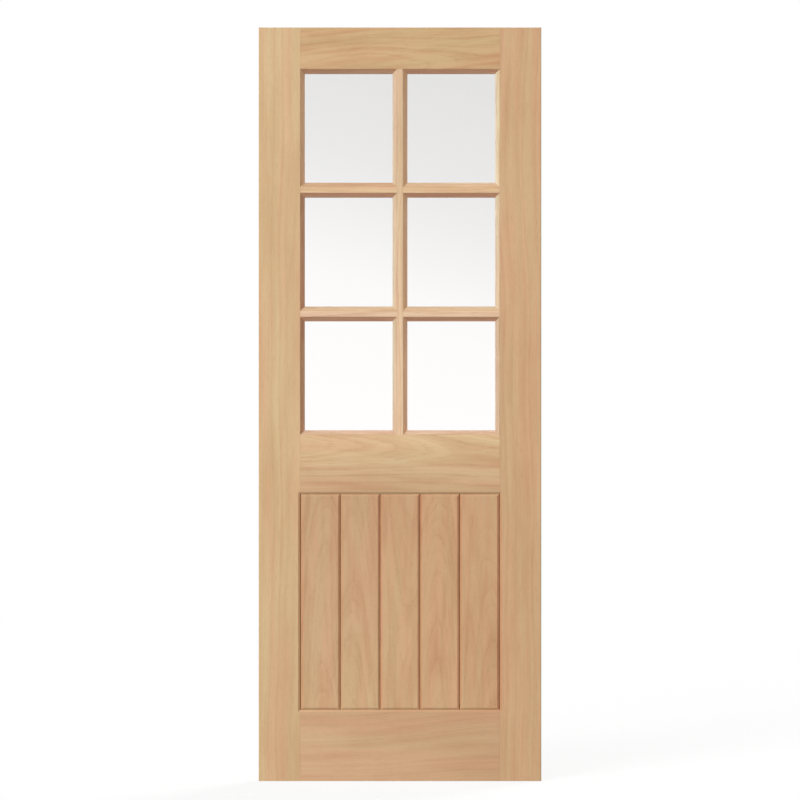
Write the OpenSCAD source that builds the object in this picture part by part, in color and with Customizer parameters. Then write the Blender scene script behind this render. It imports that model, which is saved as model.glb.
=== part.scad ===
// Half-glazed oak door leaf: stiles and rails, six beaded panes over a panel of V-jointed boards.
// The leaf stands on its bottom edge, centred on X and Y, with its front face towards -Y.

/* [Leaf] */
// Width of the leaf
door_w = 762; // [610:1:915]
// Height of the leaf
door_h = 2032; // [1900:1:2200]
// Thickness of the leaf
door_t = 35; // [34:1:50]
// Chamfer that eases the long outer edges
arris = 1.5; // [0.5:0.5:4]

/* [Stiles and rails] */
// Width of each stile
stile_w = 112; // [90:1:140]
// Height of the top rail
top_rail_h = 112; // [90:1:160]
// Height of the lock rail
lock_rail_h = 160; // [110:1:220]
// Height of the bottom rail
bottom_rail_h = 192; // [120:1:260]
// Height of the boarded opening
panel_h = 582; // [400:1:720]
// Width of the chamfer on the frame round the boarded opening
frame_v = 5.5; // [1:0.5:8]

/* [Glazing] */
// Face width of a glazing bar, without its beads
bar_w = 16; // [10:1:30]
// Side and depth play where two bars are halved over each other
halving_fit = 0.1; // [0:0.05:0.3]
// Thickness of the glass
pane_t = 4; // [3:1:6]
// Room between a pane's edge and the wood round it
pane_room = 2.5; // [1.5:0.5:4]
// Thickness of the glazing tape on each face of the glass
tape_t = 1.5; // [1:0.5:2]
// Width of the glazing tape
tape_w = 8; // [5:0.5:8.5]
// How far the tape stays back from the bead's inner edge
tape_set = 1; // [0.5:0.5:2]
// Length of a setting block under the glass
block_l = 25; // [15:1:40]

/* [Beads] */
// Width of a bead
bead_w = 12; // [10:0.5:18]
// How far a bead lies behind the face of the leaf
bead_recess = 1.5; // [0.5:0.5:3]
// Flat on the face of a bead, beside the frame
bead_flat = 1; // [0.5:0.5:4]
// Height of the square edge of a bead, at the glass
bead_nose = 2.5; // [1:0.5:5]
// Play between a bead and the wood that it lies against
bead_fit = 0.05; // [0.05:0.05:0.3]
// Play between two strips at a mitre
mitre_fit = 0.1; // [0.05:0.05:0.3]

/* [Boards] */
// How far the boards lie behind the face of the leaf
board_recess = 1; // [0:0.5:3]
// Width of the chamfer on each edge of a board
board_v = 5.5; // [1:0.5:8]
// Depth of the chamfers on the boards and on the frame round them
v_depth = 3.5; // [1:0.5:6]
// Open joint between neighbouring boards, for the wood to move across its grain
board_gap = 1.5; // [0.5:0.5:6]
// Open joint between the outer boards and the stiles
edge_gap = 1.5; // [0.5:0.5:8]
// Play between the boards and the rail above them
board_fit = 0.3; // [0.1:0.1:0.5]
// Thickness of the tongues
tongue_t = 8; // [6:0.5:10]
// Length of a tongue inside its groove
tongue_l = 8; // [5:0.5:12]
// Play on each face of a tongue
tongue_fit = 0.2; // [0.1:0.05:0.4]
// Room to swell between a tongue's tip and the bottom of its groove
tongue_room = 1.5; // [0.5:0.5:3]

/* [Dowels] */
// Diameter of the rail dowels
dowel_d = 14; // [10:1:16]
// Length of the rail dowels
dowel_l = 110; // [80:1:130]
// Distance from a rail's edge to its nearest dowel
dowel_inset = 32; // [28:1:40]
// Diameter of the glazing bar dowels
bar_dowel_d = 8; // [4:1:8]
// Length of the glazing bar dowels
bar_dowel_l = 40; // [24:1:60]
// Play round a dowel
dowel_fit = 0.05; // [0.02:0.01:0.1]
// Room for glue past each end of a dowel
dowel_room = 1; // [0.5:0.5:3]
// Chamfer on a dowel's ends
dowel_lead = 1; // [0.5:0.5:2]

/* [Hidden] */
$fn = 48;

// Names of the lights, from the top left, of the bars across and of the two faces
columns = ["left", "right"];
rows = ["top", "middle", "bottom"];
cross_bars = ["upper", "lower"];
faces = ["front", "back"];

// Number of boards, and of dowels at each end of a rail
boards = 5;
top_rail_dowels_n = 2;
lock_rail_dowels_n = 2;
bottom_rail_dowels_n = 3;

// How far a cut runs out past the face that it opens on
over = 1;

// Finish of the pieces
oak = [0.82, 0.67, 0.50];
oak_board = [0.79, 0.64, 0.48];
oak_bead = [0.86, 0.72, 0.58];
beech = [0.85, 0.72, 0.55];
glass = [0.90, 0.94, 0.94, 0.35];
tape_grey = [0.75, 0.75, 0.73];
block_black = [0.15, 0.15, 0.15];

// Edges of the two openings
stile_in = door_w / 2 - stile_w;
panel_low = bottom_rail_h;
panel_high = panel_low + panel_h;
glazed_low = panel_high + lock_rail_h;
glazed_high = door_h - top_rail_h;

// Size of one light between the bars, and its lower left corner
light_w = (2 * stile_in - (len(columns) - 1) * bar_w) / len(columns);
light_h = (glazed_high - glazed_low - (len(rows) - 1) * bar_w) / len(rows);
function light_x(column) = -stile_in + column * (light_w + bar_w);
function light_z(row) = glazed_high - (row + 1) * light_h - row * bar_w;

// Height of the middle of a bar across
function cross_bar_z(k) = light_z(k) - bar_w / 2;

// Bead section and the plane that it beds on
bed_y = pane_t / 2 + tape_t;
bead_d = door_t / 2 - bead_recess - bed_y;
mitre_set = mitre_fit / sqrt(2);

// Board sizes
board_t = door_t - 2 * board_recess;
board_w = (2 * stile_in - 2 * edge_gap - (boards - 1) * board_gap) / boards;
groove_t = tongue_t + 2 * tongue_fit;
groove_d = tongue_l + tongue_room;

// A box centred on X and Y that runs from z0 to z1
module upright(w, t, z0, z1) {
    translate([-w / 2, -t / 2, z0]) cube([w, t, z1 - z0]);
}

// An outline in Y and Z, drawn along X over a length l
module along_x(l) {
    rotate([90, 0, 90]) linear_extrude(l) children();
}

// A rectangle with its four corners cut off, by cx along X and by cy along Y
module chamfered_rect(x0, x1, y0, y1, cx, cy) {
    polygon([
        [x0 + cx, y0], [x1 - cx, y0], [x1, y0 + cy], [x1, y1 - cy],
        [x1 - cx, y1], [x0 + cx, y1], [x0, y1 - cy], [x0, y0 + cy]
    ]);
}

// Dowel along Z about the origin, and the hole that it goes in
module dowel(d, l) {
    translate([0, 0, -l / 2]) cylinder(h = dowel_lead, d1 = d - 2 * dowel_lead, d2 = d);
    translate([0, 0, dowel_lead - l / 2]) cylinder(h = l - 2 * dowel_lead, d = d);
    translate([0, 0, l / 2 - dowel_lead]) cylinder(h = dowel_lead, d1 = d, d2 = d - 2 * dowel_lead);
}

module dowel_hole(d, l) {
    cylinder(h = l + 2 * dowel_room, d = d + 2 * dowel_fit, center = true);
}

// Places of the dowels at both ends of a rail that runs from z0 up by h
module at_rail_dowels(z0, h, n) {
    step = (h - 2 * dowel_inset) / (n - 1);
    for (side = [-1, 1]) for (i = [0:n - 1])
        translate([side * stile_in, 0, z0 + dowel_inset + i * step]) rotate([0, 90, 0]) children();
}

module at_top_rail_dowels() {
    at_rail_dowels(glazed_high, top_rail_h, top_rail_dowels_n) children();
}

module at_lock_rail_dowels() {
    at_rail_dowels(panel_high, lock_rail_h, lock_rail_dowels_n) children();
}

module at_bottom_rail_dowels() {
    at_rail_dowels(0, bottom_rail_h, bottom_rail_dowels_n) children();
}

// Places of the dowels at the ends of the glazing bars
module at_bar_dowels() {
    for (z = [glazed_low, glazed_high]) translate([0, 0, z]) children();
    for (side = [-1, 1]) for (k = [0:len(cross_bars) - 1])
        translate([side * stile_in, 0, cross_bar_z(k)]) rotate([0, 90, 0]) children();
}

module all_dowel_holes() {
    at_top_rail_dowels() dowel_hole(dowel_d, dowel_l);
    at_lock_rail_dowels() dowel_hole(dowel_d, dowel_l);
    at_bottom_rail_dowels() dowel_hole(dowel_d, dowel_l);
    at_bar_dowels() dowel_hole(bar_dowel_d, bar_dowel_l);
}

// Groove ploughed round the boarded opening: upright in the stiles, right through in the rails
module plough() {
    upright(2 * (stile_in + groove_d), groove_t, panel_low, panel_high);
    upright(2 * stile_in + 2 * over, groove_t, panel_low - groove_d, panel_high + groove_d);
}

// Chamfer round the boarded opening, with mitred corners, on the front and on the back
module panel_flare() {
    for (turn = [0, 180]) rotate([0, 0, turn]) intersection() {
        flare_y = v_depth - door_t / 2;
        out_y = -door_t / 2 - over;
        spread = frame_v * (1 + over / v_depth);
        translate([0, 0, panel_low - spread]) linear_extrude(panel_h + 2 * spread) polygon([
            [-stile_in, flare_y], [-stile_in - spread, out_y],
            [stile_in + spread, out_y], [stile_in, flare_y]
        ]);
        translate([-stile_in - spread, 0, 0]) along_x(2 * (stile_in + spread)) polygon([
            [flare_y, panel_low], [out_y, panel_low - spread],
            [out_y, panel_high + spread], [flare_y, panel_high]
        ]);
    }
}

// Left stile: eased outer edges, plough, chamfer and dowel holes in its inner edge
module left_stile() {
    outer_x = -door_w / 2;
    face_y = door_t / 2;
    color(oak) difference() {
        linear_extrude(door_h) polygon([
            [outer_x, arris - face_y], [outer_x + arris, -face_y], [-stile_in, -face_y],
            [-stile_in, face_y], [outer_x + arris, face_y], [outer_x, face_y - arris]
        ]);
        plough();
        panel_flare();
        all_dowel_holes();
    }
}

module right_stile() {
    mirror([1, 0, 0]) left_stile();
}

module rail(z0, z1) {
    difference() {
        upright(2 * stile_in, door_t, z0, z1);
        all_dowel_holes();
    }
}

module top_rail() {
    color(oak) rail(glazed_high, door_h);
}

module lock_rail() {
    color(oak) difference() {
        rail(panel_high, glazed_low);
        plough();
        panel_flare();
    }
}

module bottom_rail() {
    color(oak) difference() {
        rail(0, panel_low);
        plough();
        panel_flare();
    }
}

// Upright glazing bar, halved on its back for the bars across
module vertical_glazing_bar() {
    notch = bar_w + 2 * halving_fit;
    color(oak) difference() {
        upright(bar_w, door_t, glazed_low, glazed_high);
        for (k = [0:len(cross_bars) - 1])
            translate([-bar_w / 2 - over, 0, cross_bar_z(k) - notch / 2])
                cube([bar_w + 2 * over, door_t / 2 + over, notch]);
        all_dowel_holes();
    }
}

// Glazing bar across, halved on its front for the upright bar
module cross_bar(k) {
    notch = bar_w + 2 * halving_fit;
    z0 = cross_bar_z(k) - bar_w / 2;
    color(oak) difference() {
        upright(2 * stile_in, door_t, z0, z0 + bar_w);
        translate([-notch / 2, -door_t / 2 - over, z0 - over])
            cube([notch, door_t / 2 + over + halving_fit, bar_w + 2 * over]);
        all_dowel_holes();
    }
}

// Pane in a light, with room round its edges
module pane(row, column) {
    color(glass) translate([light_x(column) + pane_room, -pane_t / 2, light_z(row) + pane_room])
        cube([light_w - 2 * pane_room, pane_t, light_h - 2 * pane_room]);
}

// Two setting blocks under each pane, at the quarter points
module setting_blocks() {
    color(block_black) for (r = [0:len(rows) - 1]) for (c = [0:len(columns) - 1]) for (q = [1, 3])
        translate([light_x(c) + q * light_w / 4 - block_l / 2, -pane_t / 2, light_z(r)])
            cube([block_l, pane_t, pane_room]);
}

// Ring of glazing tape on the front of each pane
module front_glazing_tapes() {
    inner = bead_fit + bead_w - tape_set;
    outer = inner - tape_w;
    color(tape_grey) for (r = [0:len(rows) - 1]) for (c = [0:len(columns) - 1])
        translate([light_x(c), -pane_t / 2, light_z(r)]) rotate([90, 0, 0])
            linear_extrude(tape_t) difference() {
                translate([outer, outer]) square([light_w - 2 * outer, light_h - 2 * outer]);
                translate([inner, inner]) square([light_w - 2 * inner, light_h - 2 * inner]);
            }
}

module back_glazing_tapes() {
    mirror([0, 1, 0]) front_glazing_tapes();
}

// Bevelled bead along X with mitred ends: its seat is at z = 0 and its bed at y = 0
module bead_strip(l) {
    intersection() {
        along_x(l) polygon([
            [0, 0], [-bead_d, 0], [-bead_d, bead_flat], [-bead_nose, bead_w], [0, bead_w]
        ]);
        rotate([90, 0, 0]) linear_extrude(bead_d)
            polygon([
                [mitre_set, 0], [l - mitre_set, 0],
                [l - bead_w - mitre_set, bead_w], [bead_w + mitre_set, bead_w]
            ]);
    }
}

// Four strips round a light, on its front
module bead_set(row, column) {
    w = light_w - 2 * bead_fit;
    h = light_h - 2 * bead_fit;
    color(oak_bead) translate([light_x(column) + bead_fit, -bed_y, light_z(row) + bead_fit]) {
        bead_strip(w);
        translate([w, 0, h]) rotate([0, 180, 0]) bead_strip(w);
        translate([0, 0, h]) rotate([0, 90, 0]) bead_strip(h);
        translate([w, 0, 0]) rotate([0, -90, 0]) bead_strip(h);
    }
}

module front_bead(row, column) {
    bead_set(row, column);
}

module back_bead(row, column) {
    mirror([0, 1, 0]) bead_set(row, column);
}

// Board with chamfered edges. Its core runs out as tongues on its right and at both ends.
// On its left it has a groove for the tongue before it, or on the first board a tongue for the stile.
module board(i) {
    x0 = -stile_in + edge_gap + (i - 1) * (board_w + board_gap);
    x1 = x0 + board_w;
    z0 = panel_low;
    z1 = panel_high - board_fit;
    y = board_t / 2;
    left_tip = i == 1 ? x0 - edge_gap - tongue_l : x0 + board_v;
    right_tip = x1 + (i == boards ? edge_gap : board_gap) + tongue_l;
    foot = z0 - groove_d;
    head = panel_high + tongue_l;
    color(oak_board) difference() {
        union() {
            intersection() {
                translate([0, 0, z0]) linear_extrude(z1 - z0) chamfered_rect(x0, x1, -y, y, board_v, v_depth);
                translate([x0, 0, 0]) along_x(board_w) chamfered_rect(-y, y, z0, z1, v_depth, board_v);
            }
            translate([left_tip, -tongue_t / 2, z0]) cube([right_tip - left_tip, tongue_t, z1 - z0]);
            translate([x0, -tongue_t / 2, foot]) cube([board_w, tongue_t, head - foot]);
        }
        if (i > 1) translate([x0 - over, -groove_t / 2, foot - over])
            cube([groove_d + over, groove_t, head - foot + 2 * over]);
    }
}

module top_rail_dowels() {
    color(beech) at_top_rail_dowels() dowel(dowel_d, dowel_l);
}

module lock_rail_dowels() {
    color(beech) at_lock_rail_dowels() dowel(dowel_d, dowel_l);
}

module bottom_rail_dowels() {
    color(beech) at_bottom_rail_dowels() dowel(dowel_d, dowel_l);
}

module glazing_bar_dowels() {
    color(beech) at_bar_dowels() dowel(bar_dowel_d, bar_dowel_l);
}

left_stile();
right_stile();
top_rail();
lock_rail();
bottom_rail();
vertical_glazing_bar();
for (k = [0:len(cross_bars) - 1])
    cross_bar(k);
for (r = [0:len(rows) - 1]) for (c = [0:len(columns) - 1]) {
    light = str(rows[r], "_", columns[c]);
    pane(r, c);
    front_bead(r, c);
    back_bead(r, c);
}
for (b = [1:boards])
    board(b);
front_glazing_tapes();
back_glazing_tapes();
setting_blocks();
top_rail_dowels();
lock_rail_dowels();
bottom_rail_dowels();
glazing_bar_dowels();
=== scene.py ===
import math

import bmesh
import bpy
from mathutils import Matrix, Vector


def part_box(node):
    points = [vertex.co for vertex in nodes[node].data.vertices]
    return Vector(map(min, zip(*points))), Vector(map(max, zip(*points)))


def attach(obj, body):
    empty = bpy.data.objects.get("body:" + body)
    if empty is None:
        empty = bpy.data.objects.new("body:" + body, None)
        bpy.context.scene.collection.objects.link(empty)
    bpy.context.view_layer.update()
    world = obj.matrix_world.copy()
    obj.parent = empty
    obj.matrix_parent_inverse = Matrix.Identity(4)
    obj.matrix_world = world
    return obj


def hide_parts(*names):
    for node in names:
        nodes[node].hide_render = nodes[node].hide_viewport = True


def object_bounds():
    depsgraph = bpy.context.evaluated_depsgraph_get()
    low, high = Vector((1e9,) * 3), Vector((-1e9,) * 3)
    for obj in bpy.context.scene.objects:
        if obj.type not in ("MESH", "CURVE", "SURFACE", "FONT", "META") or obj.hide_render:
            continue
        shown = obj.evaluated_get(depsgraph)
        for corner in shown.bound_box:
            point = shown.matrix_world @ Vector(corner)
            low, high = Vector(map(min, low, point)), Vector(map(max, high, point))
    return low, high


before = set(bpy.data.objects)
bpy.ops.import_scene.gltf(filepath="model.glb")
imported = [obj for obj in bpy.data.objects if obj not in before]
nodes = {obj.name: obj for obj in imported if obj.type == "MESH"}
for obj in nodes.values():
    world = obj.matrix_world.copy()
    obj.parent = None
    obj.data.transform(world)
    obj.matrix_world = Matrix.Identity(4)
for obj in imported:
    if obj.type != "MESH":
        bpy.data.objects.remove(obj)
cad_low, cad_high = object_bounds()

MM = 0.001
ROOT = "root"

# Names of the lights and of the faces of the leaf
ROWS = ("top", "middle", "bottom")
COLUMNS = ("left", "right")
FACES = ("front", "back")

# Section of a glazing bead
BEAD_WIDTH = 12 * MM
BEAD_FLAT = 1 * MM
BEAD_NOSE = 2.5 * MM
BEAD_ARRIS = 0.7 * MM
BEAD_ARRIS_STEPS = 3
MITRE_GAP = 0.1 * MM

# Filled pin holes in the beads
PIN_DIAMETER = 1.6 * MM
PIN_LENGTH = 0.8 * MM
PIN_RISE = 0.05 * MM
PIN_SIDES = 12
PIN_END = 42 * MM
PINS_ACROSS = 3
PINS_UP = 4

# Softened arris on the joinery
FRAME_ARRIS = 0.5 * MM
BOARD_ARRIS = 0.8 * MM
ARRIS_STEPS = 2
ROUND_ARRIS = 0.5
SHARP_ANGLE = math.radians(25)
SHORTEST_ARRIS = 6 * MM

# Points closer than this are one, and faces that turn less than this are one
MERGE_DISTANCE = 0.001 * MM
FLAT_ANGLE = math.radians(0.5)


class Link:
    """The value at a node's socket. Sums on it add Math nodes to its tree."""

    def __init__(self, tree, socket):
        self.tree = tree
        self.socket = socket

    def out(self, name):
        return Link(self.tree, self.socket.node.outputs[name])

    def sum(self, operation, *values):
        return self.tree.node("ShaderNodeMath", {"operation": operation}, dict(enumerate(values)))

    def __add__(self, other):
        return self.sum("ADD", self, other)

    def __radd__(self, other):
        return self.sum("ADD", other, self)

    def __sub__(self, other):
        return self.sum("SUBTRACT", self, other)

    def __rsub__(self, other):
        return self.sum("SUBTRACT", other, self)

    def __mul__(self, other):
        return self.sum("MULTIPLY", self, other)

    def __rmul__(self, other):
        return self.sum("MULTIPLY", other, self)

    def __truediv__(self, other):
        return self.sum("DIVIDE", self, other)

    def fraction(self):
        return self.sum("FRACT", self)

    def root(self):
        return self.sum("SQRT", self)

    def at_most(self, other):
        return self.sum("MINIMUM", self, other)

    def at_least(self, other):
        return self.sum("MAXIMUM", self, other)


class Tree:
    """A node tree of a material, of the world or of geometry."""

    def __init__(self, node_tree):
        self.node_tree = node_tree

    def node(self, kind, settings=None, inputs=None, output=0):
        made = self.node_tree.nodes.new(kind)
        for name, value in (settings or {}).items():
            if name == "stops":
                self.set_stops(made.color_ramp, value)
            elif name == "items":
                self.add_items(made.index_switch_items, value)
            else:
                setattr(made, name, value)
        for key, value in (inputs or {}).items():
            self.feed(made.inputs[key], value)
        return Link(self, made.outputs[output]) if made.outputs else made

    def feed(self, socket, value):
        if isinstance(value, (list, tuple)) and any(isinstance(v, Link) for v in value):
            for part in value:
                self.feed(socket, part)
        elif isinstance(value, Link):
            self.node_tree.links.new(value.socket, socket)
        else:
            socket.default_value = value

    @staticmethod
    def set_stops(ramp, stops):
        while len(ramp.elements) < len(stops):
            ramp.elements.new(1.0)
        for element, (place, level) in zip(ramp.elements, stops):
            element.position = place
            element.color = (level, level, level, 1.0)

    @staticmethod
    def add_items(items, count):
        while len(items) < count:
            items.new()

    def split(self, vector):
        parts = self.node("ShaderNodeSeparateXYZ", None, {"Vector": vector})
        return parts, parts.out("Y"), parts.out("Z")

    def join(self, x, y, z):
        return self.node("ShaderNodeCombineXYZ", None, {"X": x, "Y": y, "Z": z})

    def stretched(self, vector, scale):
        return self.node("ShaderNodeVectorMath", {"operation": "MULTIPLY"}, {0: vector, 1: scale})

    def noise(self, vector, scale, detail=2.0, rough=0.5):
        """Noise with a given number of features to the metre along each axis."""
        place = self.stretched(vector, scale)
        inputs = {"Vector": place, "Scale": 1.0, "Detail": detail, "Roughness": rough}
        return self.node("ShaderNodeTexNoise", {"noise_dimensions": "3D"}, inputs)

    def line_noise(self, value, detail=2.0, rough=0.5):
        inputs = {"W": value, "Scale": 1.0, "Detail": detail, "Roughness": rough}
        return self.node("ShaderNodeTexNoise", {"noise_dimensions": "1D"}, inputs)

    def step(self, value, low, high):
        """Smooth step from 0 at low to 1 at high."""
        inputs = {"Value": value, "From Min": low, "From Max": high}
        return self.node("ShaderNodeMapRange", {"interpolation_type": "SMOOTHSTEP"}, inputs)

    def mix(self, share, first, second, blend="MIX"):
        settings = {"data_type": "RGBA", "blend_type": blend}
        return self.node("ShaderNodeMix", settings, {0: share, 6: first, 7: second}, 2)

    def mix_shaders(self, share, first, second):
        return self.node("ShaderNodeMixShader", None, {0: share, 1: first, 2: second})


def new_material(name):
    material = bpy.data.materials.new(name)
    material.use_nodes = True
    material.node_tree.nodes.clear()
    return material, Tree(material.node_tree)


def show(tree, shader):
    tree.node("ShaderNodeOutputMaterial", None, {"Surface": shader})


# Oak, read from three attributes of each piece: grain is a place in the trunk that the piece was sawn from,
# in metres, with the heart along its third axis, tone is the piece's own shade, and figure is how strongly
# its grain shows. The tone also carries painted light: painted shade on the slopes of the upright V joints,
# and painted shade and painted reflection across the glazing beads.
FULL_FIGURE = 1.0

# Features to the metre, twice across the grain and then along it
HEART_WANDER = (3.0, 3.0, 1.6)
RING_RIPPLE = (22.0, 22.0, 5.0)
FIBRE = (420.0, 420.0, 7.0)
PORE = (1500.0, 1500.0, 48.0)
MOTTLE = (62.0, 62.0, 7.5)
DRIFT = (38.0, 38.0, 2.2)
PATCHES = (15.0, 15.0, 3.0)

# How far the heart wanders and the rings ripple
WANDER_REACH = 55 * MM
RIPPLE_REACH = 6 * MM

# Swings of fast and slow growth to the metre, and how many rings they move a ring by
GROWTH_SWINGS = 75.0
GROWTH_SHIFT = 2.0

# Noise and rings run from 0 to 1. Each pair is the low and the high end of a smooth step on them.
NOISE_MIDDLE = 0.5
SPRING_MIDDLE = 0.24
SPRING_OPENS = (0.0, 0.04)
SPRING_CLOSES = (0.0, 0.5)
PORE_STEP = (0.56, 0.68)
FLAME_STEP = (0.28, 0.72)
MOTTLE_STEP = (0.3, 0.7)
DRIFT_STEP = (0.35, 0.65)
PATCH_STEP = (0.3, 0.7)

# Shares of the deep shade, of the pores outside the spring wood, and of the pores' brown
SPRING_SHADE = 0.16
FIBRE_SHADE = 0.4
SUMMER_PORES = 0.3
PORE_SHADE = 0.35

# Slow shifts to pink and to yellow, and the brown of the pores
PINK_BLUSH = (1.022, 0.98, 0.992, 1.0)
YELLOW_BLUSH = (0.98, 1.018, 1.0, 1.0)
PORE_BROWN = (0.30, 0.145, 0.065, 1.0)

# The oiled surface
OAK_ROUGHNESS = 0.52
PORE_ROUGHNESS = 0.2
FIBRE_ROUGHNESS = 0.12
OAK_GLOSS = 0.35
FIBRE_HEIGHT = 0.35
SPRING_DEPTH = 0.15
OAK_RELIEF = 0.6
OAK_RELIEF_DEPTH = 0.12 * MM


def oak(name, pale, deep, flame, cloud, patch, ring_width):
    """Oak between a pale and a deep shade, with so much flame, cloud and patch, and rings of this width."""
    material, tree = new_material(name)
    grain = tree.node("ShaderNodeAttribute", {"attribute_name": "grain"}, None, "Vector")
    tone = tree.node("ShaderNodeAttribute", {"attribute_name": "tone"}, None, "Color")
    strength = tree.node("ShaderNodeAttribute", {"attribute_name": "figure"}, None, "Fac")

    # The heart wanders along the trunk, and the rings ripple
    wander = tree.noise(grain, HEART_WANDER, detail=1.0).out("Color")
    ripple = tree.noise(grain, RING_RIPPLE).out("Color")
    x, y, _ = tree.split(grain)
    wander_x, wander_y, _ = tree.split(wander)
    ripple_x, ripple_y, _ = tree.split(ripple)
    from_heart_x = x + (wander_x - NOISE_MIDDLE) * WANDER_REACH + (ripple_x - NOISE_MIDDLE) * RIPPLE_REACH
    from_heart_y = y + (wander_y - NOISE_MIDDLE) * WANDER_REACH + (ripple_y - NOISE_MIDDLE) * RIPPLE_REACH
    radius = (from_heart_x * from_heart_x + from_heart_y * from_heart_y).root()

    # Years of faster and slower growth, then the open wood of each spring
    years = tree.line_noise(radius * GROWTH_SWINGS, detail=3.0, rough=0.62)
    ring = (radius / ring_width + (years - NOISE_MIDDLE) * GROWTH_SHIFT).fraction()
    spring = (1.0 - tree.step(ring, *SPRING_CLOSES)) * tree.step(ring, *SPRING_OPENS)

    # Fibre streaks, pores that crowd into the spring wood, and slow shifts of shade
    fibre = tree.noise(grain, FIBRE, rough=0.6)
    pore_noise = tree.noise(grain, PORE, detail=1.0)
    pores = tree.step(pore_noise, *PORE_STEP) * (SUMMER_PORES + (1.0 - SUMMER_PORES) * spring)
    mottle = tree.noise(grain, MOTTLE, rough=0.55)
    drift = tree.noise(grain, DRIFT)
    patches = tree.noise(grain, PATCHES, detail=1.0)

    flames = (tree.step(years, *FLAME_STEP) - NOISE_MIDDLE) * flame
    springs = (spring - SPRING_MIDDLE) * SPRING_SHADE
    clouds = (tree.step(mottle, *MOTTLE_STEP) - NOISE_MIDDLE) * cloud
    streaks = flames + springs + (fibre - NOISE_MIDDLE) * FIBRE_SHADE + clouds
    mean = NOISE_MIDDLE * flame + SPRING_MIDDLE * SPRING_SHADE
    shade = streaks * strength + mean + (tree.step(patches, *PATCH_STEP) - NOISE_MIDDLE) * patch
    wood = tree.mix(shade.at_most(1.0).at_least(0.0), pale, deep)
    blush = tree.mix(tree.step(drift, *DRIFT_STEP), PINK_BLUSH, YELLOW_BLUSH)
    wood = tree.mix(1.0, wood, blush, "MULTIPLY")
    wood = tree.mix(1.0, wood, tone, "MULTIPLY")
    wood = tree.mix(pores * PORE_SHADE, wood, PORE_BROWN)

    roughness = OAK_ROUGHNESS + pores * PORE_ROUGHNESS + (fibre - NOISE_MIDDLE) * FIBRE_ROUGHNESS
    relief = tree.node("ShaderNodeBump", None, {
        "Strength": OAK_RELIEF,
        "Distance": OAK_RELIEF_DEPTH,
        "Height": fibre * FIBRE_HEIGHT - pores - spring * SPRING_DEPTH,
    })
    surface = {
        "Base Color": wood,
        "Roughness": roughness,
        "Normal": relief,
        "Specular IOR Level": OAK_GLOSS,
    }
    show(tree, tree.node("ShaderNodeBsdfPrincipled", None, surface))
    return material


def rgb(red, green, blue):
    """A colour from its 8-bit display levels."""
    def linear(level):
        share = level / 255
        return share / 12.92 if share <= 0.04045 else ((share + 0.055) / 1.055) ** 2.4
    return (linear(red), linear(green), linear(blue), 1.0)


frame_oak = oak(
    "oak_frame", rgb(217, 187, 145), rgb(198, 154, 114),
    flame=0.5, cloud=0.35, patch=0.3, ring_width=3.6 * MM)
board_oak = oak(
    "oak_boards", rgb(210, 175, 136), rgb(190, 145, 106),
    flame=0.34, cloud=0.4, patch=0.38, ring_width=4.2 * MM)
bead_oak = oak(
    "oak_beads", rgb(217, 185, 146), rgb(195, 153, 116),
    flame=0.4, cloud=0.3, patch=0.0, ring_width=3.4 * MM)


# Glass: the levels of its painted reflection, which greys it towards the top, from the foot of the lowest
# pane to the head of the highest, how far they rise to the right in a metre, its hue, and what it leaves of
# the lamps' light
GLASS_REFLECTION_LEVELS = ((0.0, 1.0), (0.27, 0.985), (0.39, 0.962), (0.61, 0.865), (0.73, 0.823), (1.0, 0.77))
GLASS_RISE = 0.3
GLASS_HUE = (1.0, 0.99, 0.985, 1.0)
GLASS_IOR = 1.5
LAMPLIGHT_LEFT = (0.94, 0.95, 0.945, 1.0)


def clear_glass():
    """Float glass, with a painted reflection that makes it a shade greyer towards the top of the leaf, that
    lets the lamps through.
    """
    material, tree = new_material("pane_glass")
    place = tree.node("ShaderNodeTexCoord", None, None, "Object")
    x, _, z = tree.split(place)
    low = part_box("pane_bottom_left")[0].z
    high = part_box("pane_top_left")[1].z
    rise = (z - low) / (high - low) + x * GLASS_RISE
    # The painted reflection: the glass greys towards the top and to the right
    level = tree.node("ShaderNodeValToRGB", {"stops": GLASS_REFLECTION_LEVELS}, {"Fac": rise})
    glass = tree.node("ShaderNodeBsdfPrincipled", None, {
        "Base Color": tree.mix(1.0, level, GLASS_HUE, "MULTIPLY"),
        "Roughness": 0.0,
        "IOR": GLASS_IOR,
        "Transmission Weight": 1.0,
    })
    clear = tree.node("ShaderNodeBsdfTransparent", None, {"Color": LAMPLIGHT_LEFT})
    lamp_ray = tree.node("ShaderNodeLightPath", None, None, "Is Shadow Ray")
    show(tree, tree.mix_shaders(lamp_ray, glass, clear))
    return material


# Finishes of the pieces behind and inside the oak
FINISH_STEP = (0.35, 0.65)
FINISH_RELIEF = 0.5
FINISH_ROUGHNESS = 0.2


def plain_finish(name, pale, deep, scale, roughness, grain_height):
    """A finish with two close shades, mottled along the axes by scale, and a fine relief."""
    material, tree = new_material(name)
    place = tree.node("ShaderNodeTexCoord", None, None, "Object")
    mottle = tree.noise(place, scale, detail=3.0, rough=0.6)
    relief = tree.node("ShaderNodeBump", None, {
        "Strength": FINISH_RELIEF,
        "Distance": grain_height,
        "Height": mottle,
    })
    surface = {
        "Base Color": tree.mix(tree.step(mottle, *FINISH_STEP), pale, deep),
        "Roughness": roughness + (mottle - NOISE_MIDDLE) * FINISH_ROUGHNESS,
        "Normal": relief,
    }
    show(tree, tree.node("ShaderNodeBsdfPrincipled", None, surface))
    return material


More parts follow.
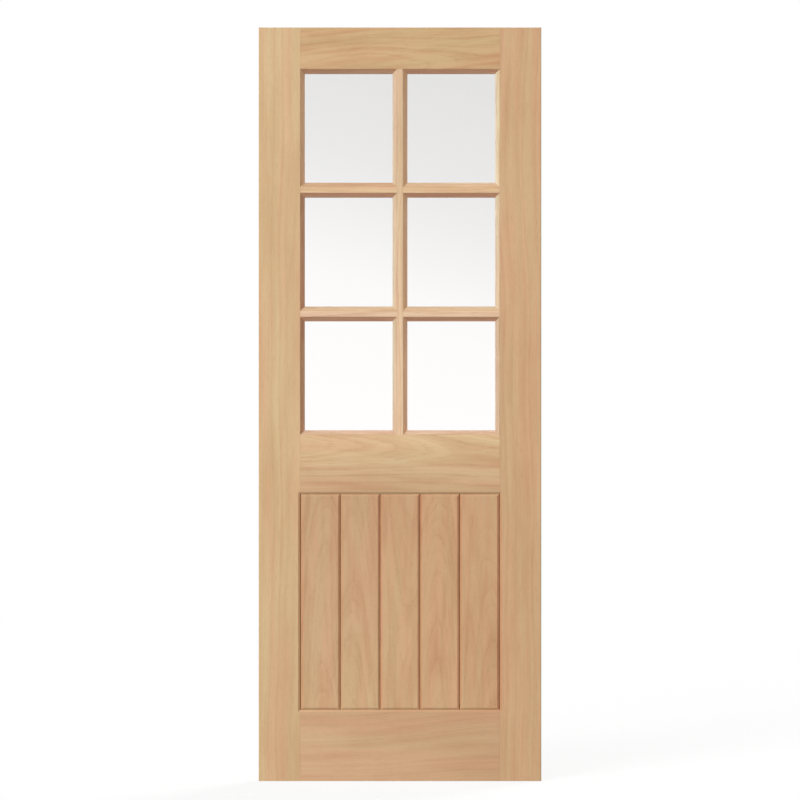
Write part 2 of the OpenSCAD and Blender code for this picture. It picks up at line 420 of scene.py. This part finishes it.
pane_glass = clear_glass()
tape_foam = plain_finish(
    "glazing_tape", rgb(196, 195, 190), rgb(178, 177, 172),
    scale=(900, 900, 900), roughness=0.8, grain_height=0.1 * MM)
block_plastic = plain_finish(
    "block_plastic", rgb(46, 46, 46), rgb(36, 36, 37),
    scale=(1400, 1400, 1400), roughness=0.5, grain_height=0.04 * MM)
dowel_beech = plain_finish(
    "dowel_wood", rgb(214, 178, 136), rgb(197, 156, 113),
    scale=(60, 900, 900), roughness=0.6, grain_height=0.1 * MM)
pin_filler = plain_finish(
    "pin_filler", rgb(196, 150, 112), rgb(178, 130, 94),
    scale=(2200, 2200, 2200), roughness=0.7, grain_height=0.03 * MM)


# Pieces of joinery, copied from the solids with softened arrises

# Where a piece is paler, its green and blue rise more than its red
FADE_SHARES = (0.7, 1.0, 1.1)

# The slopes of the upright V joints get a painted shade, darker than the faces
FACE_SHADE = (1.0, 1.0, 1.0, 1.0)
V_PAINTED_SHADE = (0.945, 0.805, 0.76, 1.0)
V_REACH = 6 * MM
STEEPEST_V = 0.7
FLATTEST_V = 0.95


class Timber:
    """How a piece was sawn: along which axis its grain runs, where the heart lies from its middle,
    how the heart leans along it, how far along the trunk it was cut, its shade, and how much paler
    it is at its right end and at its top than in its middle."""

    def __init__(self, along, heart, lean, start, tone, fade):
        self.along = along
        self.heart = heart
        self.lean = lean
        self.start = start
        self.tone = tone
        self.fade = fade

    def place(self, point):
        across, deep, length = point if self.along == "Z" else (point.z, point.y, point.x)
        return (
            across - self.heart[0] - self.lean[0] * length,
            deep - self.heart[1] - self.lean[1] * length,
            length + self.start,
        )

    def shade(self, point, reach):
        paler = self.fade[0] * point.x / reach.x + self.fade[1] * point.z / reach.z
        return [level * (1.0 + paler * share) for level, share in zip(self.tone, FADE_SHARES)] + [1.0]


panel_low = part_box("board_1")[0]
panel_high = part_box("board_5")[1]


def is_v_slope(face):
    """Whether a face slopes into an upright V joint of the boards, or of the frame beside them."""
    upright = abs(face.normal.x) > abs(face.normal.z)
    slopes = upright and STEEPEST_V < abs(face.normal.y) < FLATTEST_V
    beside = panel_low.x - V_REACH < face.center.x < panel_high.x + V_REACH
    level = panel_low.z - V_REACH < face.center.z < panel_high.z + V_REACH
    return slopes and beside and level


def write_wood(mesh, timber, figure, low, high):
    """Give a piece, which fills the box from low to high, its grain, its shade with a painted shade on the
    slopes of its upright V joints, and its figure.
    """
    middle = (low + high) / 2
    reach = (high - low) / 2
    points = [vertex.co - middle for vertex in mesh.vertices]
    mesh.attributes.new("grain", "FLOAT_VECTOR", "POINT")
    mesh.attributes.new("tone", "FLOAT_COLOR", "CORNER")
    mesh.attributes.new("figure", "FLOAT", "POINT")
    places = [value for point in points for value in timber.place(point)]
    shades = []
    for face in mesh.polygons:
        # Faces that slope into an upright V joint get the painted shade
        painted_shade = V_PAINTED_SHADE if is_v_slope(face) else FACE_SHADE
        for vertex in face.vertices:
            shade = timber.shade(points[vertex], reach)
            shades.extend(level * share for level, share in zip(shade, painted_shade))
    mesh.attributes["grain"].data.foreach_set("vector", places)
    mesh.attributes["tone"].data.foreach_set("color", shades)
    mesh.attributes["figure"].data.foreach_set("value", [figure] * len(points))


def eased_mesh(node, name, arris):
    """A copy of a solid's mesh, its doubles merged and its long outer edges softened."""
    source = nodes[node].data
    points = [v.co.copy() for v in source.vertices]
    faces = [tuple(p.vertices) for p in source.polygons]
    mesh = bpy.data.meshes.new(name)
    mesh.from_pydata(points, [], faces)
    shape = bmesh.new()
    shape.from_mesh(mesh)
    bmesh.ops.remove_doubles(shape, verts=shape.verts, dist=MERGE_DISTANCE)
    bmesh.ops.dissolve_limit(shape, angle_limit=FLAT_ANGLE, verts=shape.verts, edges=shape.edges)
    arrises = [
        edge for edge in shape.edges
        if edge.is_manifold and edge.is_convex
        and edge.calc_face_angle() > SHARP_ANGLE
        and edge.calc_length() > SHORTEST_ARRIS
    ]
    bmesh.ops.bevel(
        shape, geom=arrises, offset=arris, segments=ARRIS_STEPS, profile=ROUND_ARRIS,
        affect="EDGES", clamp_overlap=True,
    )
    shape.to_mesh(mesh)
    shape.free()
    return mesh


def place_piece(name, mesh, material, slot, *stands_for):
    piece = bpy.data.objects.new(name, mesh)
    bpy.context.scene.collection.objects.link(piece)
    if material is not None:
        mesh.materials.clear()
        mesh.materials.append(material)
    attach(piece, ROOT)
    if stands_for:
        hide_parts(*stands_for)
    return piece


FRAME_TIMBER = {
    "left_stile": Timber("Z", (0.33, 0.10), (0.006, 0.004), 1.7, (0.98, 0.95, 0.91), (-0.015, 0.045)),
    "right_stile": Timber("Z", (-0.36, 0.13), (-0.004, 0.006), 7.3, (0.89, 0.8, 0.77), (0.0, 0.055)),
    "top_rail": Timber("X", (-0.05, 0.09), (0.085, 0.02), 13.1, (0.9, 0.84, 0.76), (-0.05, 0.0)),
    # The lock rail's strong fade to a paler top is painted light along its top edge
    "lock_rail": Timber("X", (0.035, 0.075), (-0.035, 0.015), 19.4, (0.95, 0.91, 0.9), (-0.025, 0.18)),
    "bottom_rail": Timber("X", (0.16, 0.10), (0.02, 0.01), 25.2, (0.88, 0.79, 0.78), (-0.09, 0.0)),
    "vertical_glazing_bar": Timber("Z", (0.20, 0.12), (0.004, 0.003), 31.5, (1.1, 1.13, 1.25), (0.0, -0.1)),
    "upper_glazing_bar": Timber("X", (0.20, 0.14), (0.004, 0.003), 37.9, (1.09, 1.08, 1.11), (0.0, 0.0)),
    "lower_glazing_bar": Timber("X", (-0.22, 0.12), (0.004, 0.003), 43.6, (1.17, 1.16, 1.38), (0.0, 0.0)),
}
BOARD_TIMBER = {
    "board_1": Timber("Z", (0.012, 0.060), (0.030, 0.045), 51.0, (0.93, 0.885, 0.85), (0.0, -0.065)),
    "board_2": Timber("Z", (-0.030, 0.085), (-0.02, 0.05), 58.3, (0.93, 0.89, 0.85), (0.0, -0.075)),
    "board_3": Timber("Z", (0.020, 0.070), (0.015, -0.055), 66.1, (0.93, 0.88, 0.83), (-0.01, -0.07)),
    "board_4": Timber("Z", (-0.008, 0.055), (0.02, 0.06), 72.9, (0.915, 0.84, 0.785), (0.0, -0.045)),
    "board_5": Timber("Z", (0.034, 0.090), (-0.03, 0.04), 80.2, (0.9, 0.83, 0.775), (-0.01, -0.035)),
}

# How strongly the grain of a piece shows, where that isn't 1
FIGURES = {
    "left_stile": 0.55,
    "right_stile": 0.6,
    "top_rail": 1.35,
    "bottom_rail": 0.55,
    "board_2": 0.85,
    "board_3": 0.72,
    "board_5": 0.8,
}


def joinery(timbers, material, slot, arris):
    for node, timber in timbers.items():
        name = "oak_" + node
        mesh = eased_mesh(node, name, arris)
        write_wood(mesh, timber, FIGURES.get(node, FULL_FIGURE), *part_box(node))
        place_piece(name, mesh, material, slot, node)


joinery(FRAME_TIMBER, frame_oak, "oak_frame", FRAME_ARRIS)
joinery(BOARD_TIMBER, board_oak, "oak_boards", BOARD_ARRIS)


# Solids that stay, with their finish

def finish_node(node, material):
    mesh = nodes[node].data
    mesh.materials.clear()
    mesh.materials.append(material)


for row in ROWS:
    for column in COLUMNS:
        finish_node(f"pane_{row}_{column}", pane_glass)
for face in FACES:
    finish_node(f"{face}_glazing_tapes", tape_foam)
finish_node("setting_blocks", block_plastic)
for joint in ("top_rail", "lock_rail", "bottom_rail", "glazing_bar"):
    finish_node(f"{joint}_dowels", dowel_beech)


# Geometry trees

class ShapeTree(Tree):
    """A geometry tree with named inputs."""

    def __init__(self, name, inputs):
        super().__init__(bpy.data.node_groups.new(name, "GeometryNodeTree"))
        face = self.node_tree.interface
        for label, kind in inputs.items():
            face.new_socket(label, in_out="INPUT", socket_type=kind)
        face.new_socket("Geometry", in_out="OUTPUT", socket_type="NodeSocketGeometry")
        self.given = self.node_tree.nodes.new("NodeGroupInput")

    def input(self, label):
        return Link(self, self.given.outputs[label])

    def done(self, geometry, material):
        plain = self.node("GeometryNodeRealizeInstances", None, {"Geometry": geometry})
        clad = self.node("GeometryNodeSetMaterial", None, {"Geometry": plain, "Material": material})
        end = self.node_tree.nodes.new("NodeGroupOutput")
        self.feed(end.inputs["Geometry"], clad)

    def together(self, *shapes):
        return self.node("GeometryNodeJoinGeometry", None, {"Geometry": list(shapes)})

    def moved(self, shape, place, turn=(0.0, 0.0, 0.0)):
        inputs = {"Geometry": shape, "Translation": place, "Rotation": turn}
        return self.node("GeometryNodeTransform", None, inputs)

    def stored(self, shape, name, kind, value):
        settings = {"data_type": kind, "domain": "POINT"}
        inputs = {"Geometry": shape, "Name": name, "Value": value}
        return self.node("GeometryNodeStoreNamedAttribute", settings, inputs)


HALF_TURN = math.pi
QUARTER_TURN = math.pi / 2

# Where in the trunk a strip may be cut from: across it, as deep as this, and so far along it, in metres
STRIP_FROM = (-0.25, 0.06, 0.0)
STRIP_TO = (0.25, 0.2, 90.0)


def round_light(tree, width, height, sill, head, left, right):
    """Four strips, each along X about its middle, set round a light.
    The light's lower left corner is the origin."""
    return tree.together(
        tree.moved(sill, tree.join(width * 0.5, 0.0, 0.0)),
        tree.moved(head, tree.join(width * 0.5, 0.0, height), (0.0, HALF_TURN, 0.0)),
        tree.moved(left, tree.join(0.0, 0.0, height * 0.5), (0.0, QUARTER_TURN, 0.0)),
        tree.moved(right, tree.join(width, 0.0, height * 0.5), (0.0, -QUARTER_TURN, 0.0)),
    )


def bead_tree():
    """Four mitred strips round a light.
    The light's lower left corner is the origin, and the bed of the strips lies at y = 0."""
    tree = ShapeTree("bead_round_light", {
        "Light width": "NodeSocketFloat",
        "Light height": "NodeSocketFloat",
        "Bead depth": "NodeSocketFloat",
        "Bead width": "NodeSocketFloat",
        "Flat": "NodeSocketFloat",
        "Nose": "NodeSocketFloat",
        "Arris": "NodeSocketFloat",
        "Mitre gap": "NodeSocketFloat",
        "Sill at frame": "NodeSocketColor",
        "Sill at glass": "NodeSocketColor",
        "Head at frame": "NodeSocketColor",
        "Head at glass": "NodeSocketColor",
        "Left at frame": "NodeSocketColor",
        "Left at glass": "NodeSocketColor",
        "Right at frame": "NodeSocketColor",
        "Right at glass": "NodeSocketColor",
        "Turn": "NodeSocketFloat",
        "Place": "NodeSocketVector",
        "Seed": "NodeSocketInt",
    })
    width = tree.input("Light width")
    height = tree.input("Light height")
    bead_width = tree.input("Bead width")
    front = tree.input("Bead depth") * -1.0
    nose = tree.input("Nose") * -1.0

    # The section, with its corners rounded
    corners = [
        tree.join(0.0, 0.0, 0.0),
        tree.join(front, 0.0, 0.0),
        tree.join(front, tree.input("Flat"), 0.0),
        tree.join(nose, bead_width, 0.0),
        tree.join(0.0, bead_width, 0.0),
    ]
    ring = tree.node("GeometryNodeCurvePrimitiveCircle", {"mode": "RADIUS"}, {"Resolution": len(corners)})
    index = tree.node("GeometryNodeInputIndex")
    chosen = {"Index": index}
    for i, corner in enumerate(corners):
        chosen[i + 1] = corner
    corner = tree.node("GeometryNodeIndexSwitch", {"data_type": "VECTOR", "items": len(corners)}, chosen)
    section = tree.node("GeometryNodeSetPosition", None, {"Geometry": ring, "Position": corner})
    section = tree.node("GeometryNodeFilletCurve", {"mode": "POLY"}, {
        "Curve": section,
        "Count": BEAD_ARRIS_STEPS,
        "Radius": tree.input("Arris"),
        "Limit Radius": True,
    })
    section = tree.stored(section, "section", "FLOAT_VECTOR", tree.node("GeometryNodeInputPosition"))

    # One strip along X about its middle, with its seat at z = 0, cut to the mitre at both ends
    span = tree.node("GeometryNodeCurvePrimitiveLine", {"mode": "POINTS"}, {
        "Start": (-1.0, 0.0, 0.0),
        "End": (1.0, 0.0, 0.0),
    })
    along = tree.node("GeometryNodeSplineParameter", None, None, "Factor")
    span = tree.stored(span, "along", "FLOAT", along * 2.0 - 1.0)
    blank = tree.node("GeometryNodeCurveToMesh", None, {
        "Curve": span,
        "Profile Curve": section,
        "Fill Caps": True,
    })
    at_section = tree.node(
        "GeometryNodeInputNamedAttribute", {"data_type": "FLOAT_VECTOR"}, {"Name": "section"}, "Attribute")
    at_length = tree.node(
        "GeometryNodeInputNamedAttribute", {"data_type": "FLOAT"}, {"Name": "along"}, "Attribute")
    deep, inward, _ = tree.split(at_section)

    def strip(length, number, side):
        half = length * 0.5 - tree.input("Mitre gap") * math.sqrt(0.5) - inward
        place = tree.join(at_length * half, deep, inward)
        shape = tree.node("GeometryNodeSetPosition", None, {"Geometry": blank, "Position": place})
        own = tree.node("FunctionNodeInputInt", {"integer": number})
        start = tree.node("FunctionNodeRandomValue", {"data_type": "FLOAT_VECTOR"}, {
            "Min": STRIP_FROM,
            "Max": STRIP_TO,
            "ID": own,
            "Seed": tree.input("Seed"),
        })
        sawn = tree.join(inward, deep, at_length * half)
        grain = tree.node("ShaderNodeVectorMath", {"operation": "ADD"}, {0: sawn, 1: start})
        shape = tree.stored(shape, "grain", "FLOAT_VECTOR", grain)
        shape = tree.stored(shape, "figure", "FLOAT", FULL_FIGURE)
        # Across the bevel the tone runs from its frame edge to its glass edge: painted shade and painted
        # reflection
        at_frame = tree.input(side + " at frame")
        at_glass = tree.input(side + " at glass")
        shade = tree.mix(inward / bead_width, at_frame, at_glass)
        return tree.stored(shape, "tone", "FLOAT_COLOR", shade)

    sill = strip(width, 0, "Sill")
    head = strip(width, 1, "Head")
    left = strip(height, 2, "Left")
    right = strip(height, 3, "Right")
    sides = round_light(tree, width, height, sill, head, left, right)
    turn = tree.join(0.0, 0.0, tree.input("Turn"))
    tree.done(tree.moved(sides, tree.input("Place"), turn), bead_oak)
    return tree.node_tree


def pin_tree():
    """Filled pin holes in the beads of every light, as short plugs square to the bevels."""
    tree = ShapeTree("bead_pins", {
        "Light width": "NodeSocketFloat",
        "Light height": "NodeSocketFloat",
        "Column step": "NodeSocketFloat",
        "Row step": "NodeSocketFloat",
        "Bead depth": "NodeSocketFloat",
        "Bead width": "NodeSocketFloat",
        "Flat": "NodeSocketFloat",
        "Nose": "NodeSocketFloat",
        "Pin diameter": "NodeSocketFloat",
        "Pin length": "NodeSocketFloat",
        "Pin rise": "NodeSocketFloat",
        "End room": "NodeSocketFloat",
        "Pins across": "NodeSocketInt",
        "Pins up": "NodeSocketInt",
        "Turn": "NodeSocketFloat",
        "Place": "NodeSocketVector",
    })
    width = tree.input("Light width")
    height = tree.input("Light height")
    bevel_run = tree.input("Bead width") - tree.input("Flat")
    bevel_fall = tree.input("Bead depth") - tree.input("Nose")

    # One plug, with its outer end a little proud of the bevel
    plug = tree.node("GeometryNodeMeshCylinder", None, {
        "Vertices": PIN_SIDES,
        "Radius": tree.input("Pin diameter") * 0.5,
        "Depth": tree.input("Pin length"),
    }, "Mesh")
    plug = tree.moved(plug, tree.join(0.0, 0.0, tree.input("Pin rise") - tree.input("Pin length") * 0.5))
    square = tree.join(bevel_run.sum("ARCTAN2", bevel_run, bevel_fall), 0.0, 0.0)

    def row(length, count):
        reach = length * 0.5 - tree.input("End room")
        deep = (tree.input("Bead depth") + tree.input("Nose")) * -0.5
        inward = (tree.input("Bead width") + tree.input("Flat")) * 0.5
        places = tree.node("GeometryNodeMeshLine", {"mode": "END_POINTS"}, {
            "Count": count,
            "Start Location": tree.join(reach * -1.0, deep, inward),
            "Offset": tree.join(reach, deep, inward),
        })
        inputs = {"Points": places, "Instance": plug, "Rotation": square}
        return tree.node("GeometryNodeInstanceOnPoints", None, inputs)

    across = row(width, tree.input("Pins across"))
    up = row(height, tree.input("Pins up"))
    sides = round_light(tree, width, height, across, across, up, up)

    # The same pins in each light, from the lower left one
    columns = len(COLUMNS)
    rows = len(ROWS)
    lights = tree.node("GeometryNodeMeshGrid", None, {
        "Size X": tree.input("Column step") * (columns - 1),
        "Size Y": tree.input("Row step") * (rows - 1),
        "Vertices X": columns,
        "Vertices Y": rows,
    }, "Mesh")
    middle = tree.join(
        tree.input("Column step") * ((columns - 1) / 2), 0.0, tree.input("Row step") * ((rows - 1) / 2))
    lights = tree.moved(lights, middle, (QUARTER_TURN, 0.0, 0.0))
    pins = tree.node("GeometryNodeInstanceOnPoints", None, {"Points": lights, "Instance": sides})
    turn = tree.join(0.0, 0.0, tree.input("Turn"))
    tree.done(tree.moved(pins, tree.input("Place"), turn), pin_filler)
    return tree.node_tree


def grown(name, node_tree, values):
    """The plain mesh that a geometry tree gives with these inputs."""
    blank = bpy.data.meshes.new(name)
    carrier = bpy.data.objects.new(name + "_carrier", blank)
    bpy.context.scene.collection.objects.link(carrier)
    grower = carrier.modifiers.new("shape", "NODES")
    grower.node_group = node_tree
    for item in node_tree.interface.items_tree:
        if item.in_out == "INPUT" and item.name in values:
            grower[item.identifier] = values[item.name]
    evaluated = carrier.evaluated_get(bpy.context.evaluated_depsgraph_get())
    mesh = bpy.data.meshes.new_from_object(evaluated)
    mesh.name = name
    carrier.modifiers.remove(grower)
    bpy.data.objects.remove(carrier)
    bpy.data.meshes.remove(blank)
    return mesh


def faces_out(mesh):
    """Close a grown mesh and turn its flat faces outwards."""
    shape = bmesh.new()
    shape.from_mesh(mesh)
    bmesh.ops.remove_doubles(shape, verts=shape.verts, dist=MERGE_DISTANCE)
    bmesh.ops.recalc_face_normals(shape, faces=shape.faces)
    for face in shape.faces:
        face.smooth = False
    shape.to_mesh(mesh)
    shape.free()


# Tones of the four strips round a light, at the edge that meets the frame and at the edge on the glass.
# Besides the wood's own tone
# they hold painted light across the bevel: painted shade at the frame edge of the head and left strips and
# at the glass edge of the sill, and a painted reflection of the glass that makes the right strips bluer at
# the glass edge
BEAD_TONES_AND_PAINTED_LIGHT = {
    "Sill at frame": (0.96, 0.93, 0.91, 1.0),
    "Sill at glass": (0.84, 0.9, 1.0, 1.0),
    "Head at frame": (0.98, 0.76, 0.79, 1.0),
    "Head at glass": (1.06, 0.86, 0.9, 1.0),
    "Left at frame": (1.09, 0.96, 0.93, 1.0),
    "Left at glass": (1.12, 1.0, 1.02, 1.0),
    "Right at frame": (0.965, 0.99, 1.06, 1.0),
    "Right at glass": (0.9, 1.04, 1.28, 1.0),
}

# Strips with other tones and painted light: one deeper sill, the sills on the lock rail, redder strips on
# the left stile below its top light, and strips on the right stile that go from pale at the top to redder
# at the foot. The redder strips carry a painted red reflection in their shade, and the pale right strips a
# stronger painted reflection of the glass
DEEP_SILL = {
    "Sill at frame": (0.85, 0.79, 0.76, 1.0),
    "Sill at glass": (0.74, 0.69, 0.72, 1.0),
}
LOCK_RAIL_SILL = {
    "Sill at frame": (0.97, 0.96, 1.02, 1.0),
    "Sill at glass": (0.88, 0.86, 1.08, 1.0),
}
RED_LEFT = {
    "Left at frame": (0.82, 0.6, 0.55, 1.0),
    "Left at glass": (0.83, 0.63, 0.64, 1.0),
}
PALE_RIGHT = {
    "Right at frame": (1.04, 1.16, 1.25, 1.0),
    "Right at glass": (1.07, 1.39, 1.69, 1.0),
}
MIDDLE_RIGHT = {
    "Right at frame": (0.98, 1.08, 1.18, 1.0),
    "Right at glass": (1.0, 1.15, 1.36, 1.0),
}
RED_RIGHT = {
    "Right at frame": (0.86, 0.86, 0.93, 1.0),
    "Right at glass": (0.9, 1.0, 1.2, 1.0),
}
OTHER_TONES_AND_PAINTED_LIGHT = {
    ("top", "left"): (DEEP_SILL,),
    ("top", "right"): (PALE_RIGHT,),
    ("middle", "left"): (RED_LEFT,),
    ("middle", "right"): (MIDDLE_RIGHT,),
    ("bottom", "left"): (LOCK_RAIL_SILL, RED_LEFT),
    ("bottom", "right"): (LOCK_RAIL_SILL, RED_RIGHT),
}


def bead_tones_and_painted_light(row, column):
    shades = dict(BEAD_TONES_AND_PAINTED_LIGHT)
    for others in OTHER_TONES_AND_PAINTED_LIGHT[row, column]:
        shades.update(others)
    return shades


BEAD_SECTION = {
    "Bead width": BEAD_WIDTH,
    "Flat": BEAD_FLAT,
    "Nose": BEAD_NOSE,
}


def light_size(low, high):
    return {
        "Light width": high.x - low.x,
        "Light height": high.z - low.z,
        "Bead depth": high.y - low.y,
    }


def set_on(face, low, high):
    """The turn and the place of a shape that starts at a box's lower left corner, seen from that face."""
    if face == "front":
        return {"Turn": 0.0, "Place": (low.x, high.y, low.z)}
    return {"Turn": HALF_TURN, "Place": (high.x, low.y, low.z)}


bead_shape = bead_tree()
for face in FACES:
    for row in ROWS:
        for column in COLUMNS:
            node = f"{face}_bead_{row}_{column}"
            name = "oak_" + node
            low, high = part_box(node)
            mesh = grown(name, bead_shape, {
                **light_size(low, high),
                **BEAD_SECTION,
                "Arris": BEAD_ARRIS,
                "Mitre gap": MITRE_GAP,
                **bead_tones_and_painted_light(row, column),
                **set_on(face, low, high),
                "Seed": 10 * FACES.index(face) + 2 * ROWS.index(row) + COLUMNS.index(column),
            })
            faces_out(mesh)
            place_piece(name, mesh, None, "oak_beads", node)

pin_shape = pin_tree()
for face in FACES:
    name = f"{face}_bead_pins"
    low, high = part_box(f"{face}_bead_bottom_left")
    far_low, far_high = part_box(f"{face}_bead_top_right")
    mesh = grown(name, pin_shape, {
        **light_size(low, high),
        **BEAD_SECTION,
        "Column step": (far_low.x - low.x) / (len(COLUMNS) - 1),
        "Row step": (far_low.z - low.z) / (len(ROWS) - 1),
        "Pin diameter": PIN_DIAMETER,
        "Pin length": PIN_LENGTH,
        "Pin rise": PIN_RISE,
        "End room": PIN_END,
        "Pins across": PINS_ACROSS,
        "Pins up": PINS_UP,
        **set_on(face, low, far_high),
    })
    faces_out(mesh)
    place_piece(name, mesh, None, "oak_beads")


# Floor, light and camera

WHITE = (1.0, 1.0, 1.0, 1.0)
AMBIENT = 0.14
FLOOR_HALF = 9.0
FLOOR_SHADOW = 0.12
DULL_FLOOR = (0.2, 0.2, 0.2, 1.0)
LAMP_LEVEL = 1.02
LAMP_SPREAD = math.radians(24)
LAMP_DISTANCE = 6.0
FRONT_LAMP = (-0.52, -1.0, 0.52)
BACK_LAMP = (0.52, 1.0, 0.52)
LENS = 200.0
SENSOR = 36.0
VIEW_HEIGHT = 2.157
VIEW_MIDDLE = 1.0276


def seen_directly(tree):
    """1 for a ray from the camera, or one that gloss or glass sends on,
    and 0 for light on a dull surface."""
    path = tree.node("ShaderNodeLightPath", None, None, "Is Camera Ray")
    sent_on = path.out("Is Glossy Ray").at_least(path.out("Is Transmission Ray"))
    scattered = path.out("Diffuse Depth").at_most(1.0)
    return path.at_least(sent_on * (1.0 - scattered))


def white_world():
    world = bpy.data.worlds.new("studio")
    world.use_nodes = True
    world.node_tree.nodes.clear()
    tree = Tree(world.node_tree)
    strength = AMBIENT + seen_directly(tree) * (1.0 - AMBIENT)
    light = tree.node("ShaderNodeBackground", None, {"Color": WHITE, "Strength": strength})
    tree.node("ShaderNodeOutputWorld", None, {"Surface": light})
    bpy.context.scene.world = world


def pale_floor():
    material, tree = new_material("pale_floor")
    paper = tree.node("ShaderNodeBsdfDiffuse", None, {"Color": WHITE})
    white = tree.node("ShaderNodeEmission", None, {"Color": WHITE, "Strength": 1.0})
    dull = tree.node("ShaderNodeBsdfDiffuse", None, {"Color": DULL_FLOOR})
    bright = tree.mix_shaders(FLOOR_SHADOW, white, paper)
    show(tree, tree.mix_shaders(seen_directly(tree), dull, bright))
    mesh = bpy.data.meshes.new("floor")
    reach = FLOOR_HALF
    corners = [
        (-reach, -reach, 0.0),
        (reach, -reach, 0.0),
        (reach, reach, 0.0),
        (-reach, reach, 0.0),
    ]
    mesh.from_pydata(corners, [], [(0, 1, 2, 3)])
    mesh.materials.append(material)
    floor = bpy.data.objects.new("floor", mesh)
    bpy.context.scene.collection.objects.link(floor)


def soft_lamp(name, towards, level):
    """A broad far lamp in the direction towards, which lights a surface that faces it at this level."""
    lamp = bpy.data.lights.new(name, "SUN")
    lamp.energy = math.pi * level
    lamp.angle = LAMP_SPREAD
    lamp_object = bpy.data.objects.new(name, lamp)
    direction = Vector(towards)
    lamp_object.rotation_euler = direction.to_track_quat("Z", "Y").to_euler()
    lamp_object.location = direction.normalized() * LAMP_DISTANCE
    bpy.context.scene.collection.objects.link(lamp_object)


def square_camera():
    data = bpy.data.cameras.new("camera")
    data.lens = LENS
    data.sensor_width = SENSOR
    camera = bpy.data.objects.new("camera", data)
    away = LENS / SENSOR * VIEW_HEIGHT
    camera.location = (0.0, cad_low.y - away, VIEW_MIDDLE)
    camera.rotation_euler = (QUARTER_TURN, 0.0, 0.0)
    bpy.context.scene.collection.objects.link(camera)
    bpy.context.scene.camera = camera


white_world()
pale_floor()
soft_lamp("front_lamp", FRONT_LAMP, LAMP_LEVEL)
soft_lamp("back_lamp", BACK_LAMP, LAMP_LEVEL)
square_camera()
bpy.context.scene.view_settings.view_transform = "Standard"
